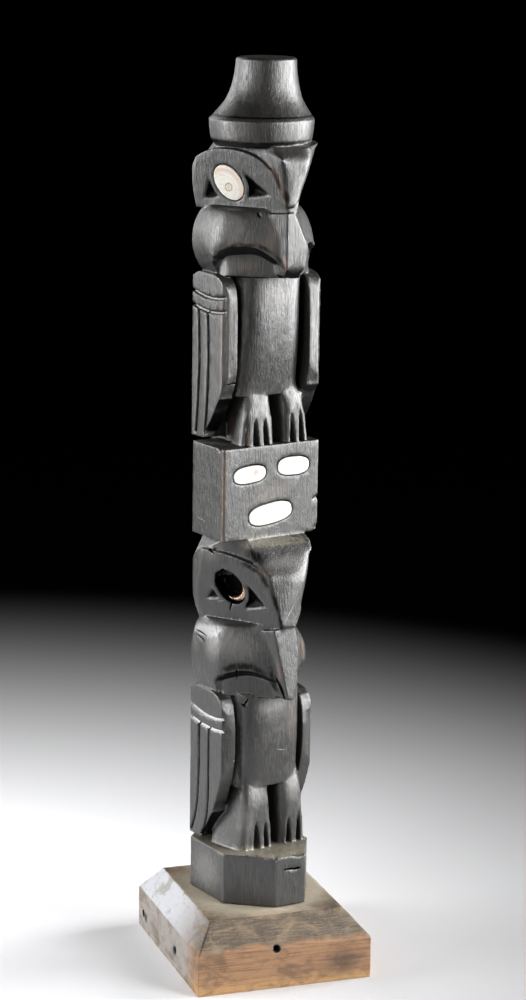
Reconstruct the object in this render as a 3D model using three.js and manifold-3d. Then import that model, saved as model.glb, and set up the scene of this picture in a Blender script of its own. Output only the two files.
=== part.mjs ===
// A model totem pole: two birds, a box with a face and a hat, carved as one pole that stands on a
// chamfered base. Millimetres, +Z up. The origin is the middle of the base's underside, and the base's
// front faces -Y. The pole is worked out about its own axis and turned a little on the base. Points are
// in the carver's measures: side (towards +X), front (towards -Y) and height above the table.

import * as THREE from 'three';
import { ConvexGeometry } from 'three/addons/geometries/ConvexGeometry.js';
import { mergeVertices } from 'three/addons/utils/BufferGeometryUtils.js';
import Module from 'manifold-3d';

const wasm = await Module();
wasm.setup();

// ---------------------------------------------------------------- driving dimensions

const FIT = 0.3; // clearance between pieces that touch
const CLEAR = 5; // how far a cutting tool stands clear of what it cuts

const BASE = {
  width: 80,
  depth: 91,
  edge: 18.7, // height of the upright edge, below the sloping top
  height: 30.35,
  inset: { left: 8.3, right: 10.2, front: 10.6, back: 10.5 }, // of the flat top, from each edge
};

// Old nail holes, square, sunk into the base's front edge and its left-hand edge.
const NAIL = { size: 2.6, depth: 6 };
const FRONT_NAIL = { side: -4.1, height: 18.2 };
const EDGE_NAILS = [{ front: -37.9, height: 7.8 }, { front: 11.5, height: 8.9 }];

const POLE = { turn: 14.2, shift: 0.7, back: -23, backHalf: 16.5, backCorner: -16.2 };
const LEVEL = { plinth: 53.5, boxBottom: 194.1, boxTop: 234.8, top: 400 };
const CORE = { half: 12.5, front: -3, back: -21, into: 12 }; // it ends that far inside the cheeks
const PLINTH = { right: 23.9, left: 20.4, sideFront: 11.5, frontCorners: [[7.6, 29.3], [-7.2, 27.7]] };
const BOX = { half: 24.7, front: 9.3, back: -16.6, edge: 0.7 };

// The hat's outline, from its rim up: [radius, height, side]. Its crown leans a little.
const HAT = {
  front: -1.5,
  rim: [[19.8, 363.3, -0.8], [21.6, 366, -0.8], [22.4, 370, -0.8], [22.5, 374.2, -0.7]],
  crown: [
    [22.1, 374.6, -0.6], [19.4, 378, -0.1], [16.6, 382, 0.4], [14.8, 386.5, 0.8], [13.8, 391, 1],
    [13.3, 395.5, 1.1], [12.9, 399.2, 1.2], [12, 400, 1.2],
  ],
};

// Each bird, in heights above its seat. A wing's tip is cut back below its step: [height, depth]. A toe
// groove runs from `foot` at the seat up to `head`. A cheek is fullest at `middle`, and falls away above and
// below it on arcs of radius `above` and `below`. The head's arch is its brow's outline: [front, height].
const LOWER = {
  seat: LEVEL.plinth,
  wing: {
    bottom: 2.4,
    drop: 31,
    inner: 17,
    right: { half: 23.4, back: [24, -17.2], outerFront: 7.8, innerFront: 9.6, top: 72, step: [16, 0.5] },
    left: { half: 22.5, back: [22.5, -16.2], outerFront: 9.8, innerFront: 11.6, top: 69, step: [16, 0.5] },
  },
  scores: [
    [[-18, 63], [-11, 60.4], [-2, 59.6], [4, 60], [9, 61.2]],
    [[-18, 56.6], [-11, 54.8], [-2, 54.6], [4, 54.8], [9, 55.8]],
    [[-10.2, 54.4], [-10.4, 30], [-12, 14], [-16.4, 3]],
    [[-2.7, 54.2], [-2.3, 28], [-4, 12], [-7.4, 4]],
  ],
  belly: {
    bottom: 28.5,
    top: 71.6,
    half: 16.2,
    axis: 4.6,
    reach: [8.6, 9.6, 10.3, 10.7, 10.8, 10.6, 10.2],
  },
  feet: [
    {
      base: [-16.2, 1],
      crown: [-12.6, -2.6],
      splay: 5,
      squareness: 7,
      heel: -7,
      toe: 14,
      top: 32,
      grooves: [
        { foot: -12.4, head: -11.8, width: 1.4, depth: 0.8, rise: 13 },
        { foot: -7.8, head: -8.4, width: 3.6, depth: 4.4, rise: 14 },
        { foot: -2.7, head: -3.8, width: 2.8, depth: 4.4, rise: 14 },
      ],
    },
    {
      base: [4.2, 19],
      crown: [3.4, 15],
      splay: 0,
      squareness: 4,
      heel: -7,
      toe: 14,
      top: 33.4,
      grooves: [
        { foot: 9, head: 8.8, width: 2.8, depth: 4.4, rise: 14 },
        { foot: 14.2, head: 14.4, width: 2.8, depth: 4.4, rise: 16.5 },
      ],
    },
  ],
  cheek: {
    bottom: 70.4,
    top: 103.4,
    sideFront: 4,
    front: 24,
    right: { half: 24.6, middle: 87, above: 34, below: 38 },
    left: { half: 24.5, middle: 83, above: 22, below: 26 },
  },
  mouth: {
    arch: [
      [15.4, 3.4], [18.6, 7.4], [22.5, 10.3], [27.2, 12.3],
      [31.4, 12.8], [36.5, 11.5], [40.7, 8], [44.4, 4.2],
    ],
    lip: 4,
    inset: 2.4,
    slope: 1.2,
  },
  head: { bottom: 102.8, top: 140.2, half: 24.2, sideFront: 3.5, waist: 0.9 },
  panel: {
    right: { open: [-24, -15], close: [-3.8, 24.6], lean: 6 },
    left: { open: [-24, -15], close: [-3.2, 24.6], lean: 13 },
  },
  arch: [
    [-17, 128], [-12, 133.8], [-5, 134.4], [5, 133],
    [15, 129.8], [20.5, 124.7], [22.4, 114], [25, 102.8],
  ],
  roof: [
    [12, 9, 140.6], [18, 2, 140.6], [18, -16, 140.6], [24.5, -14.5, 131],
    [19, -3, 132], [9, 15, 128.6], [12, -20, 134],
  ],
  brow: [
    [-7.9, 21.2, 125.4], [3, 24.3, 125.2], [9.4, 23.4, 125], [11.8, 21.3, 125.9],
    [3.2, 24.8, 103.2], [-3.8, 24.8, 103.6], [-8.8, 18, 127.1], [-6.3, 21.5, 119.5],
    [-4.7, 23.1, 111], [9.4, 22.2, 117], [6.6, 23.4, 107.9], [3.8, 24.2, 103],
    [-12.6, 12, 135], [-12, 9, 140.4], [16.4, 17, 134.9], [17.7, 14, 138.3],
    [17.6, 9, 140.4], [17, 0, 140.4],
  ],
  beak: [
    [-7.5, 24, 102.8], [3.3, 24.6, 103], [-6, 24.6, 98], [-4.2, 25, 88.5], [4.6, 25.5, 92],
    [-3.1, 26, 79], [3.8, 26.3, 78], [-1.4, 27.2, 71], [1.4, 27.2, 71],
    [-9, 16, 101], [9, 16, 101], [-4.5, 18, 72], [5, 18, 72],
  ],
  eye: { s: 19.1, t: 15.9, long: 8.2, short: 5.9, tilt: 135 },
  cuts: [
    { corners: [[4.7, 8.4], [10.2, 17.4], [15.5, 9.6]], deepest: [11.4, 11.4], depth: 1.3 },
    { corners: [[24.6, 22.6], [37.8, 8.8], [26, 6.2]], deepest: [29.5, 11.5], depth: 2.8 },
  ],
};

const UPPER = {
  seat: LEVEL.boxTop,
  wing: {
    bottom: 2.4,
    drop: 25,
    inner: 17,
    right: { half: 23.4, back: [24.4, -17.9], outerFront: 4.6, innerFront: 7.6, top: 74.4, step: [20.8, 0.8] },
    left: { half: 24.1, back: [24.1, -16.2], outerFront: 8.6, innerFront: 11.6, top: 74.4, step: [24.6, 1] },
  },
  scores: [
    [[-19, 66.4], [-12, 64.4], [-4, 63.8], [2, 64.2], [5.6, 65]],
    [[-19, 60.4], [-12, 58.2], [-4, 57.8], [2, 58.2], [5.6, 59]],
    [[-13.1, 58], [-12.3, 36], [-13, 18], [-14.6, 4]],
    [[-6.2, 57.6], [-5.4, 37], [-6, 18], [-7.6, 5]],
  ],
  belly: { bottom: 21.5, top: 75, half: 15.6, axis: 2, reach: [5, 6.6, 8, 9, 9.6, 9.8, 9.8, 9.6] },
  feet: [
    {
      base: [-15.6, 2.8],
      crown: [-9.6, -1.4],
      splay: -2,
      squareness: 3.6,
      heel: -4.5,
      toe: 8.8,
      top: 23.6,
      grooves: [
        { foot: -12.8, head: -11.6, width: 2.4, depth: 2.2, rise: 16 },
        { foot: -7.7, head: -8.4, width: 3.4, depth: 4.4, rise: 13 },
        { foot: -2.2, head: -3.7, width: 3.4, depth: 4.4, rise: 13 },
      ],
    },
    {
      base: [6.6, 20.4],
      crown: [4.2, 14],
      splay: 0,
      squareness: 3.6,
      heel: -4.5,
      toe: 8.8,
      top: 24.4,
      grooves: [
        { foot: 11.3, head: 10.2, width: 2.8, depth: 4.4, rise: 15 },
        { foot: 16, head: 14.6, width: 3.2, depth: 4.4, rise: 16 },
      ],
    },
  ],
  cheek: {
    bottom: 73.8,
    top: 102.8,
    sideFront: 3.5,
    front: 24,
    right: { half: 26, middle: 88, above: 27, below: 25 },
    left: { half: 25.3, middle: 81.5, above: 30, below: 20 },
  },
  mouth: {
    arch: [
      [12.8, 3.6], [17.4, 7.9], [22.2, 11.4], [27.6, 13.4],
      [32, 13.2], [36.2, 11], [40, 7.6], [42.6, 3.8],
    ],
    lip: 4,
    inset: 2.5,
    slope: 1.2,
  },
  head: { bottom: 101.6, top: 129, half: 26.2, sideFront: 3.5, waist: 0.94 },
  panel: {
    right: { open: [-24.8, -15.8], close: [-3.5, 24], lean: 6 },
    left: { open: [-24.8, -15.8], close: [-0.4, 24.4], lean: 13 },
  },
  arch: [
    [-17, 118], [-12.8, 124], [-5, 127.2], [5, 127],
    [14, 123.4], [20.5, 115.6], [22.6, 108.6], [24.4, 101.6],
  ],
  roof: [
    [10.6, 13, 129], [15.4, 4.4, 129], [19, -8, 129], [14, -18, 129],
    [24, -13.5, 121.5], [19, -3.4, 125], [9, 14.4, 122], [12, -20, 120],
  ],
  brow: [
    [-6.2, 23.3, 124], [7.2, 25, 123.7], [2, 24.9, 109], [-0.8, 24.6, 104.2], [-4.2, 24.2, 104],
    [-9.1, 15.5, 122.4], [-5.8, 20.6, 115.2], [-4.1, 23, 107.4],
    [9.6, 16, 122.4], [5.4, 20.9, 115.2], [2.4, 23.1, 107.4],
    [-12, 10.4, 128.6], [-7, 18.5, 128.8], [8, 20.5, 128.9], [17.7, 14, 129.6], [19.9, 9, 130.3],
  ],
  beak: [
    [-4.3, 25, 101.8], [-1, 25, 101.8], [-4.6, 25.4, 90], [6, 25.4, 87],
    [-4.5, 25.2, 78.5], [4.4, 25.2, 78.5], [-3.5, 22.5, 74.4], [3.2, 22.5, 74.4],
    [-9, 16, 101], [8, 16, 101], [-5.5, 17, 75.5], [8, 17, 75.5],
  ],
  eye: { s: 17.05, t: 11.5, long: 8.4, short: 5.9, tilt: 131 },
  cuts: [
    { corners: [[3.9, 3.4], [7.9, 18.4], [13, 4.6]], deepest: [9, 7.2], depth: 2.2 },
    { corners: [[20.6, 20], [37.6, 6.8], [24.6, 4.8]], deepest: [27.2, 9.4], depth: 2.8 },
  ],
};

const SCORE = { half: 0.9, depth: 0.55 };
const EYE_RIM = 2.4; // width of the rim left standing round each eye
const SOCKET = { depth: 1.8, emptied: 3.4, proud: 0.25 };

// The shell pieces of the box's face, seen from the front: their middles, sizes and turn.
const FACE = {
  box_right_eye: { side: -11.4, height: 222.8, width: 16.4, tall: 7.4, turn: 4 },
  box_left_eye: { side: 11.1, height: 224.6, width: 16.2, tall: 8, turn: -1 },
  box_mouth: { side: -0.5, height: 204.6, width: 22.2, tall: 9, turn: 7 },
};

const WOOD = 0x1d1c1b;
const BASE_WOOD = 0x8a5f3c;
const SHELL = 0xf2efe6;

// ---------------------------------------------------------------- shapes

const at = (side, front, height) => new THREE.Vector3(side, -front, height);
const outline = (points) => new THREE.Shape(points.map(([x, y]) => new THREE.Vector2(x, y)));
const straight = (depth, steps = 1) => ({ depth, steps, bevelEnabled: false });
const hull = (points) => new ConvexGeometry(points.map((point) => at(...point)));
const bothSides = (half) => half.concat(half.map(([side, ...rest]) => [-side, ...rest]).reverse());

// An outline of [side, front] points, stood up from one height to another.
function upright(points, bottom, top, steps) {
  const shape = outline(points.map(([side, front]) => [side, -front]));
  return new THREE.ExtrudeGeometry(shape, straight(top - bottom, steps)).translate(0, 0, bottom);
}

// An outline of [front, height] points, carried across the pole from one side measure to another.
function across(points, from, to) {
  const frame = new THREE.Matrix4().makeBasis(
    new THREE.Vector3(0, -1, 0),
    new THREE.Vector3(0, 0, 1),
    new THREE.Vector3(-1, 0, 0),
  );
  const geometry = new THREE.ExtrudeGeometry(outline(points), straight(to - from));
  return geometry.applyMatrix4(frame).translate(to, 0, 0);
}

// Points along a smooth line through a few given ones.
function smooth(points, count) {
  const curve = new THREE.SplineCurve(points.map(([x, y]) => new THREE.Vector2(x, y)));
  return curve.getPoints(count).map((point) => [point.x, point.y]);
}

// A rounded oblong: a circle's outline squared off a little towards its box.
function oblong(width, height, turn = 0, squareness = 2.7, count = 28) {
  const points = [];
  for (let i = 0; i < count; i++) {
    const angle = (2 * Math.PI * i) / count;
    const pull = (value) => Math.sign(value) * Math.abs(value) ** (2 / squareness);
    const [x, y] = [(width / 2) * pull(Math.cos(angle)), (height / 2) * pull(Math.sin(angle))];
    points.push(new THREE.Vector2(x, y).rotateAround(new THREE.Vector2(), THREE.MathUtils.degToRad(turn)));
  }
  return new THREE.Shape(points);
}

// A closed geometry as a solid that can be joined and cut. Hand -1 is its mirror image across the pole.
function solid(geometry, hand = 1) {
  const bare = geometry.clone();
  bare.deleteAttribute('normal');
  bare.deleteAttribute('uv');
  const merged = mergeVertices(bare);
  const vertProperties = merged.attributes.position.array.map((value, i) => (i % 3 ? value : value * hand));
  const triVerts = Uint32Array.from(merged.index.array);
  if (hand < 0) {
    triVerts.reverse();
  }
  return new wasm.Manifold(new wasm.Mesh({ numProp: 3, vertProperties, triVerts }));
}

const join = (solids) => solids.reduce((whole, piece) => whole.add(piece));
const cut = (whole, tools) => tools.reduce((rest, tool) => rest.subtract(tool), whole);

function mesh(name, shape, colour, roughness) {
  const { vertProperties, triVerts } = shape.getMesh();
  const geometry = new THREE.BufferGeometry();
  geometry.setAttribute('position', new THREE.BufferAttribute(vertProperties, 3));
  geometry.setIndex(new THREE.BufferAttribute(triVerts, 1));
  geometry.computeVertexNormals();
  const material = new THREE.MeshStandardMaterial({ color: colour, roughness, metalness: 0 });
  const piece = new THREE.Mesh(geometry, material);
  piece.name = name;
  return piece;
}

// ---------------------------------------------------------------- the base

function base() {
  const { width, depth, edge, height, inset } = BASE;
  const ring = (left, right, front, back, level) => [
    [-width / 2 + left, depth / 2 - front, level],
    [width / 2 - right, depth / 2 - front, level],
    [width / 2 - right, -depth / 2 + back, level],
    [-width / 2 + left, -depth / 2 + back, level],
  ];
  const block = hull([
    ...ring(0, 0, 0, 0, 0),
    ...ring(0, 0, 0, 0, edge),
    ...ring(inset.left, inset.right, inset.front, inset.back, height),
  ]);
  const frontHole = new THREE.BoxGeometry(NAIL.size, 2 * NAIL.depth, NAIL.size);
  frontHole.translate(FRONT_NAIL.side, -depth / 2, FRONT_NAIL.height);
  const edgeHoles = EDGE_NAILS.map((nail) => {
    const hole = new THREE.BoxGeometry(2 * NAIL.depth, NAIL.size, NAIL.size);
    return hole.translate(-width / 2, -nail.front, nail.height);
  });
  return cut(solid(block), [frontHole, ...edgeHoles].map((hole) => solid(hole)));
}

// ---------------------------------------------------------------- parts of a bird

// The wings are slabs along the sides, with rounded shoulders, swept in to a tip below. A back joins them.
function wings({ seat, wing: { bottom, drop, inner, right, left } }) {
  const blade = (hand, { half, back, outerFront, innerFront, top, step }) => {
    const edge = smooth(
      [
        [innerFront - 17, bottom],
        [innerFront - 10, 0.45 * drop],
        [innerFront - 5, 0.8 * drop],
        [innerFront - 1, 1.2 * drop],
        [innerFront, 1.6 * drop],
        [innerFront - 0.6, top - 12],
        [innerFront - 2.6, top - 4],
        [innerFront - 8.5, top - 0.4],
        [innerFront - 21, top],
      ],
      18,
    );
    const tip = edge.filter((point) => point[1] < step[0]).map(([x, y]) => [x - step[1], y]);
    const upper = edge.filter((point) => point[1] >= step[0]);
    const notch = [[upper[0][0] - step[1], step[0]], [upper[0][0], step[0]]];
    const profile = [[back[1], bottom], ...tip, ...notch, ...upper, [back[1], top - 2]];
    const plan = [
      [-back[0], back[1]],
      [-half, outerFront],
      [2 - half, innerFront - 1],
      [-inner, innerFront],
      [-inner, back[1]],
    ];
    const slab = across(profile.map(([x, y]) => [x, y + seat]), -back[0] - 1, -inner + 1);
    return solid(slab, hand).intersect(solid(upright(plan, seat, seat + top + 1), hand));
  };
  const back = bothSides([[left.half, -8], [left.half, POLE.backCorner], [POLE.backHalf, POLE.back]]);
  const spine = upright(back, seat + bottom, seat + left.top - 2);
  return join([blade(1, right), blade(-1, left), solid(spine)]);
}

// The feathers are scored into each wing's outer face: two bands across it and two long lines below them.
function feathers({ seat, wing, scores }, hand) {
  const { half, back, outerFront } = hand > 0 ? wing.right : wing.left;
  const notch = ([front, height]) => {
    const face = half + ((back[0] - half) * (outerFront - front)) / (outerFront - back[1]);
    const [out, level] = [-face - SCORE.depth, seat + height];
    return [
      [out, front - SCORE.half, level],
      [out, front + SCORE.half, level],
      [out, front, level - SCORE.half],
      [out, front, level + SCORE.half],
      [SCORE.depth - face, front, level],
    ];
  };
  return scores.flatMap((line) =>
    line.slice(1).map((end, i) => solid(hull([...notch(line[i]), ...notch(end)]), hand)));
}

// The belly is a barrel, squared off a little. From bottom to top, `reach` is how far it comes forward.
function belly({ seat, belly: { bottom, top, half, axis, reach } }) {
  const steps = reach.length - 1;
  const barrel = new THREE.ExtrudeGeometry(oblong(2, 2), straight(top - bottom, steps));
  const points = barrel.attributes.position;
  for (let i = 0; i < points.count; i++) {
    const level = Math.round((points.getZ(i) / (top - bottom)) * steps);
    points.setXY(i, points.getX(i) * half, points.getY(i) * reach[level] - axis);
  }
  return solid(barrel.translate(0, 0, seat + bottom));
}

// A foot is a rounded block that narrows and rounds over to its crown. It may splay out at the heel.
function foot({ seat }, { base, crown, splay, squareness, heel, toe, top, grooves }) {
  const steps = 6;
  const shoulder = 0.6; // share of its height above which it rounds over
  const pull = 5; // how far the crown draws back from the toes
  const plan = oblong(1, 1, 0, squareness, 20);
  const block = new THREE.ExtrudeGeometry(plan, straight(top + 1, steps)).translate(0, 0, -1);
  const points = block.attributes.position;
  for (let i = 0; i < points.count; i++) {
    const [x, y] = [points.getX(i), points.getY(i)];
    const rise = (points.getZ(i) + 1) / (top + 1);
    const round = rise > shoulder ? 1 - Math.sqrt(1 - ((rise - shoulder) / 0.46) ** 2) : 0;
    const [right, left] = [0, 1].map((k) => base[k] + (crown[k] - base[k]) * (0.5 * rise + 0.5 * round));
    const front = toe - pull * round;
    const out = x < 0 ? splay * (y + 0.5) * (1 - rise) * 2 * x : 0;
    points.setX(i, (left + right) / 2 + x * (left - right) + out);
    points.setY(i, -(front + heel) / 2 + y * (front - heel));
  }
  const wedges = grooves.map((groove) => solid(toeGroove(groove, toe, seat)));
  return cut(solid(block.translate(0, 0, seat)), wedges);
}

// A toe groove is a deep wedge, widest at the seat, that runs out to a point on top of the foot.
function toeGroove({ foot: start, head: end, width, depth, rise }, toe, seat) {
  const half = width / 2;
  const clear = 2; // how far the wedge stands out of the foot
  const bend = start + 0.7 * (end - start);
  return hull([
    [start - 1.2 * half, toe + clear, seat - 1],
    [start + 1.2 * half, toe + clear, seat - 1],
    [start - 0.6 * half, toe - depth, seat - 1],
    [start + 0.6 * half, toe - depth, seat - 1],
    [bend - 0.8 * half, toe + clear, seat + 0.7 * rise],
    [bend + 0.8 * half, toe + clear, seat + 0.7 * rise],
    [bend, toe - depth, seat + 0.7 * rise],
    [end, toe + clear, seat + rise + clear],
    [end, toe, seat + rise],
  ]);
}

// Widens or narrows an upright block level by level, about the pole's axis.
function shaped(block, scaleAt) {
  const points = block.attributes.position;
  for (let i = 0; i < points.count; i++) {
    const scale = scaleAt(points.getZ(i));
    points.setXY(i, points.getX(i) * scale, points.getY(i) * scale);
  }
  return block;
}

// The cheeks swell out below the eyes, each on its own curve. The mouth is an arch cut into each of them,
// with a sloping edge, round a lower lip that follows the cheek's plan.
function cheeks({ seat, cheek, mouth, panel }) {
  const plan = (half) => [
    [1, cheek.front],
    [-4, cheek.front],
    [4.5 - half, cheek.sideFront + 4.4],
    [1.2 - half, cheek.sideFront + 0.6],
    [-half, cheek.sideFront - 6],
    [-half, POLE.backCorner],
    [-POLE.backHalf, POLE.back],
    [1, POLE.back],
  ];
  const frame = panelFrame({ ...panel.right, lean: 0 }, seat + cheek.bottom);
  const one = (hand, { half, middle, above, below }) => {
    const scaleAt = (height) => Math.sqrt(1 - ((height - middle) / (height > middle ? above : below)) ** 2);
    const planAt = (height) => plan(half).map(([x, y]) => [x * scaleAt(height), y * scaleAt(height)]);
    const upper = upright(plan(half), seat + cheek.bottom, seat + cheek.top, 9);
    const block = shaped(upper, (height) => scaleAt(height - seat));
    const arch = mouth.arch.map(([s, t]) => [s, t, depthAt(planAt(t + cheek.bottom), frame, s)]);
    const lip = inward(planAt(cheek.bottom + mouth.lip), mouth.inset);
    const body = solid(upright(lip, seat + cheek.bottom - 1, seat + cheek.top), hand);
    const hollow = solid(gape(arch, mouth.slope).applyMatrix4(frame), hand);
    return solid(block, hand).subtract(hollow.subtract(body));
  };
  return one(1, cheek.right).add(one(-1, cheek.left));
}

// How far a plan stands out of a panel's frame at a distance along it.
function depthAt(plan, frame, along) {
  const toFrame = frame.clone().invert();
  const line = plan.map(([side, front]) => at(side, front, 0).applyMatrix4(toFrame));
  const next = line.findIndex((point, i) => i > 0 && (point.x - along) * (line[i - 1].x - along) <= 0);
  const [from, to] = [line[next - 1], line[next]];
  return THREE.MathUtils.mapLinear(along, from.x, to.x, from.z, to.z);
}

// A plan drawn in by a distance towards the pole's axis.
const inward = (plan, distance) => plan.map(([x, y]) => {
  const share = 1 - distance / Math.hypot(x, y);
  return [x * share, y * share];
});

// The hollow of a mouth: each [along, up, out] point of its arch is on the surface, and its edge slopes in.
function gape(arch, slope) {
  const middle = arch.reduce((sum, point) => sum + point[0], 0) / arch.length;
  const loop = (depth) => arch.flatMap(([s, t, out]) => {
    const spread = (depth - out) * slope;
    const [x, y] = [s + (spread * (s - middle)) / 24, t + spread * 0.8];
    return [new THREE.Vector3(x, y, depth), new THREE.Vector3(x, -6, depth)];
  });
  return new ConvexGeometry([...loop(-8), ...loop(14)]);
}

// The eye panels are flat planes that close towards the beak and lean out a little over the cheeks.
// In a panel's frame X runs from its open end at the back to the beak, Y up the panel and Z out of it.
function panelFrame({ open, close, lean }, bottom) {
  const along = new THREE.Vector3(close[0] - open[0], open[1] - close[1], 0).normalize();
  const up = new THREE.Vector3(0, 0, 1);
  const outward = new THREE.Vector3().crossVectors(along, up);
  const angle = THREE.MathUtils.degToRad(lean);
  const rise = up.clone().multiplyScalar(Math.cos(angle)).addScaledVector(outward, Math.sin(angle));
  const normal = new THREE.Vector3().crossVectors(along, rise);
  return new THREE.Matrix4().makeBasis(along, rise, normal).setPosition(at(...open, bottom));
}

const eyeFrame = ({ seat, head, panel }, hand) =>
  panelFrame(hand > 0 ? panel.right : panel.left, seat + head.bottom);

function eyeShape({ s, t, long, short, tilt }, grow = 0) {
  const turn = THREE.MathUtils.degToRad(tilt);
  return new THREE.Shape().absellipse(s, t, long + grow, short + grow, 0, 2 * Math.PI, false, turn);
}

function plate(shape, bottom, top, frame) {
  const geometry = new THREE.ExtrudeGeometry(shape, { ...straight(top - bottom), curveSegments: 14 });
  return geometry.translate(0, 0, bottom).applyMatrix4(frame);
}

// The two corners of an eye are three-sided hollows, cut deepest beside the rim that stands round the eye.
function eyeCorners(bird, hand) {
  const frame = eyeFrame(bird, hand);
  const rim = solid(plate(eyeShape(bird.eye, EYE_RIM), -CLEAR, CLEAR, frame), hand);
  return bird.cuts.map(({ corners, deepest, depth }) => {
    const floor = new THREE.Vector3(...deepest, -depth);
    const mouth = corners.map((corner) => new THREE.Vector3(...corner, 0));
    const lifted = mouth.map((corner) => corner.clone().sub(floor).multiplyScalar(1.5).add(floor));
    const hollow = new ConvexGeometry([floor, ...lifted]).applyMatrix4(frame);
    return solid(hollow, hand).subtract(rim);
  });
}

function head(bird) {
  const { seat, head: { bottom, top, half, sideFront, waist }, arch } = bird;
  const plan = bothSides([[9, 27], [half, sideFront], [half, POLE.backCorner], [POLE.backHalf, POLE.back]]);
  const brow = smooth(arch, 24);
  const profile = [[POLE.back - 2, bottom], ...brow.reverse(), [POLE.back - 2, arch[0][1] - 6]];
  const block = solid(shaped(upright(plan, seat + bottom, seat + top, 8), (height) => {
    const rise = (height - seat - bottom) / 14;
    return rise < 1 ? waist + (1 - waist) * (1 - (1 - rise) ** 2) : 1;
  }));
  const outer = across(profile.map(([x, y]) => [x, y + seat]), -half - 1, half + 1);
  const waste = new THREE.BoxGeometry(120, 80, 40).translate(40, 35, 20);
  const panels = [1, -1].map((hand) => solid(waste.clone().applyMatrix4(eyeFrame(bird, hand)), hand));
  const raise = ([side, front, height]) => [side, front, height + seat];
  return join([
    cut(block.intersect(solid(outer)), panels),
    solid(hull(bothSides(bird.roof).map(raise))),
    solid(hull(bird.brow.map(raise))),
    solid(hull(bird.beak.map(raise))),
  ]);
}

const bird = (sizes) => join([
  wings(sizes),
  belly(sizes),
  ...sizes.feet.map((one) => foot(sizes, one)),
  cheeks(sizes),
  head(sizes),
]);

// ---------------------------------------------------------------- the pole

const boxFace = new THREE.Matrix4()
  .makeBasis(new THREE.Vector3(1, 0, 0), new THREE.Vector3(0, 0, 1), new THREE.Vector3(0, -1, 0))
  .setPosition(0, -BOX.front, 0);

function faceShape({ side, height, width, tall, turn }, grow = 0) {
  const shape = oblong(width + 2 * grow, tall + 2 * grow, turn);
  return new THREE.Shape(shape.getPoints().map((point) => point.add(new THREE.Vector2(side, height))));
}

function hat() {
  const profile = [...HAT.rim, ...HAT.crown];
  const middle = [[0, HAT.rim[0][1]], [0, LEVEL.top]];
  const outer = profile.map(([radius, height]) => [radius, height]);
  const points = [middle[0], ...outer, middle[1]].map(([x, y]) => new THREE.Vector2(x, y));
  const turned = new THREE.LatheGeometry(points, 40).rotateX(Math.PI / 2);
  const shift = (height) => profile.reduce((best, level) =>
    (Math.abs(level[1] - height) < Math.abs(best[1] - height) ? level : best))[2];
  const position = turned.attributes.position;
  for (let i = 0; i < position.count; i++) position.setX(i, position.getX(i) + shift(position.getZ(i)));
  return solid(turned.translate(0, -HAT.front, 0));
}

function pole() {
  const plinth = [
    [PLINTH.left, PLINTH.sideFront],
    [PLINTH.left, POLE.backCorner],
    [POLE.backHalf, POLE.back],
    [-POLE.backHalf, POLE.back],
    [-PLINTH.right, POLE.backCorner],
    [-PLINTH.right, PLINTH.sideFront],
    ...PLINTH.frontCorners.toReversed(),
  ];
  const corePlan = bothSides([[CORE.half, CORE.front], [CORE.half, CORE.back]]);
  const core = ({ seat, cheek }) => solid(upright(corePlan, seat - 1, seat + cheek.bottom + CORE.into));
  const boxPlan = [
    [BOX.half - BOX.edge, BOX.front],
    [BOX.half, BOX.front - BOX.edge],
    [BOX.half, BOX.back + BOX.edge],
    [BOX.half - BOX.edge, BOX.back],
  ];
  const whole = join([
    solid(upright(plinth, BASE.height + FIT, LEVEL.plinth)),
    core(LOWER),
    core(UPPER),
    bird(LOWER),
    solid(upright(bothSides(boxPlan), LEVEL.boxBottom, LEVEL.boxTop)),
    bird(UPPER),
    hat(),
  ]);
  const socket = (sizes, hand, depth) =>
    solid(plate(eyeShape(sizes.eye, FIT), -depth, CLEAR, eyeFrame(sizes, hand)), hand);
  const hollows = [
    socket(LOWER, 1, SOCKET.emptied),
    socket(LOWER, -1, SOCKET.depth),
    socket(UPPER, 1, SOCKET.depth),
    socket(UPPER, -1, SOCKET.depth),
    ...Object.values(FACE).map((piece) =>
      solid(plate(faceShape(piece, FIT), -SOCKET.depth, CLEAR, boxFace))),
  ];
  for (const sizes of [LOWER, UPPER]) {
    for (const hand of [1, -1]) hollows.push(...eyeCorners(sizes, hand), ...feathers(sizes, hand));
  }
  return cut(whole, hollows);
}

// ---------------------------------------------------------------- the model

const totem = new THREE.Group();
totem.add(mesh('base', base(), BASE_WOOD, 0.75));

const carving = new THREE.Group();
carving.position.set(POLE.shift, 0, 0);
carving.rotation.z = THREE.MathUtils.degToRad(POLE.turn);
carving.add(mesh('pole', pole(), WOOD, 0.5));

// Each shell piece sits in its socket with the fit all round. The lower bird's right eye has fallen out.
const inlay = (shape, frame, hand) => solid(plate(shape, FIT - SOCKET.depth, SOCKET.proud, frame), hand);
for (const [name, piece] of Object.entries(FACE)) {
  carving.add(mesh(name, inlay(faceShape(piece), boxFace), SHELL, 0.25));
}
carving.add(mesh('upper_bird_right_eye', inlay(eyeShape(UPPER.eye), eyeFrame(UPPER, 1), 1), SHELL, 0.25));
carving.add(mesh('upper_bird_left_eye', inlay(eyeShape(UPPER.eye), eyeFrame(UPPER, -1), -1), SHELL, 0.25));
carving.add(mesh('lower_bird_left_eye', inlay(eyeShape(LOWER.eye), eyeFrame(LOWER, -1), -1), SHELL, 0.25));
totem.add(carving);

export default totem;
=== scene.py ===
from math import cos, pi, radians, sin

import bmesh
import bpy
import numpy as np
from bpy.props import FloatProperty, IntProperty, PointerProperty
from mathutils import Matrix, Quaternion, Vector
from mathutils.kdtree import KDTree


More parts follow.
